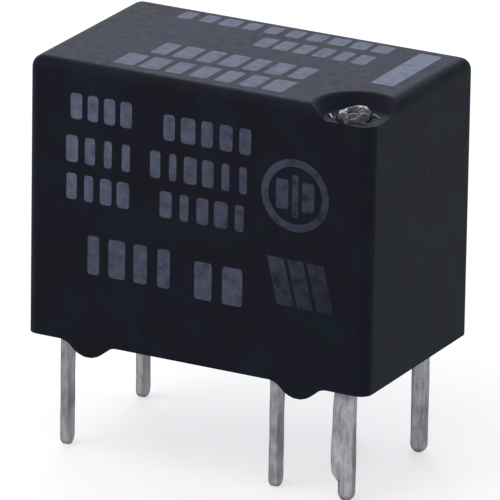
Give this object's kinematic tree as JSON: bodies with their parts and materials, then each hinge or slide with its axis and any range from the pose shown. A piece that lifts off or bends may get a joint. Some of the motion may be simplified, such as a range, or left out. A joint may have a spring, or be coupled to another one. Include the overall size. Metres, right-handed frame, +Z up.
{
  "type": "sealed micro relay",
  "caption": "Small sealed printed-board relay in a black moulded case on flat tinned pins, with its coil, hinged armature and changeover contact inside.",
  "frame": {"origin": "centre of the case's plan, at the level of the pin tips", "axes": "+Z up, +X along the case towards the contact end, the printed front faces -Y"},
  "size_m": [0.0122, 0.0072, 0.0133],
  "materials": {
    "black_plastic": "moulded bluish black plastic, satin",
    "base_plastic": "moulded dark plastic",
    "bobbin_plastic": "moulded natural plastic",
    "resin": "cast dark resin",
    "soft_iron": "plated soft iron",
    "tinned": "dull solder-tinned strip",
    "copper_wire": "enamelled copper wire",
    "spring_bronze": "rolled spring bronze",
    "silver": "silver alloy contact"
  },
  "bodies": {
    "relay": {"case": "black_plastic", "base": "base_plastic", "sealing_resin": "resin", "bobbin": "bobbin_plastic", "winding": "copper_wire", "coil_lead_front": "copper_wire", "coil_lead_back": "copper_wire", "core": "soft_iron", "yoke": "soft_iron", "no_contact": "silver", "nc_contact": "silver", "nc_terminal": "tinned", "no_terminal": "tinned", "common_terminal_front": "tinned", "common_terminal_back": "tinned", "coil_terminal_front": "tinned", "coil_terminal_back": "tinned"},
    "armature": {"armature": "soft_iron", "moving_spring": "spring_bronze", "moving_contact_upper": "silver", "moving_contact_lower": "silver"}
  },
  "joints": [
    {"name": "armature_hinge", "type": "hinge", "parent": "relay", "child": "armature", "pos_m": [-0.0042, 0, 0.01127], "axis": [0, -1, 0], "range_deg": [0, 2.2], "stiffness_Nm_per_rad": 0.004, "springref_deg": -2.86}
  ]
}
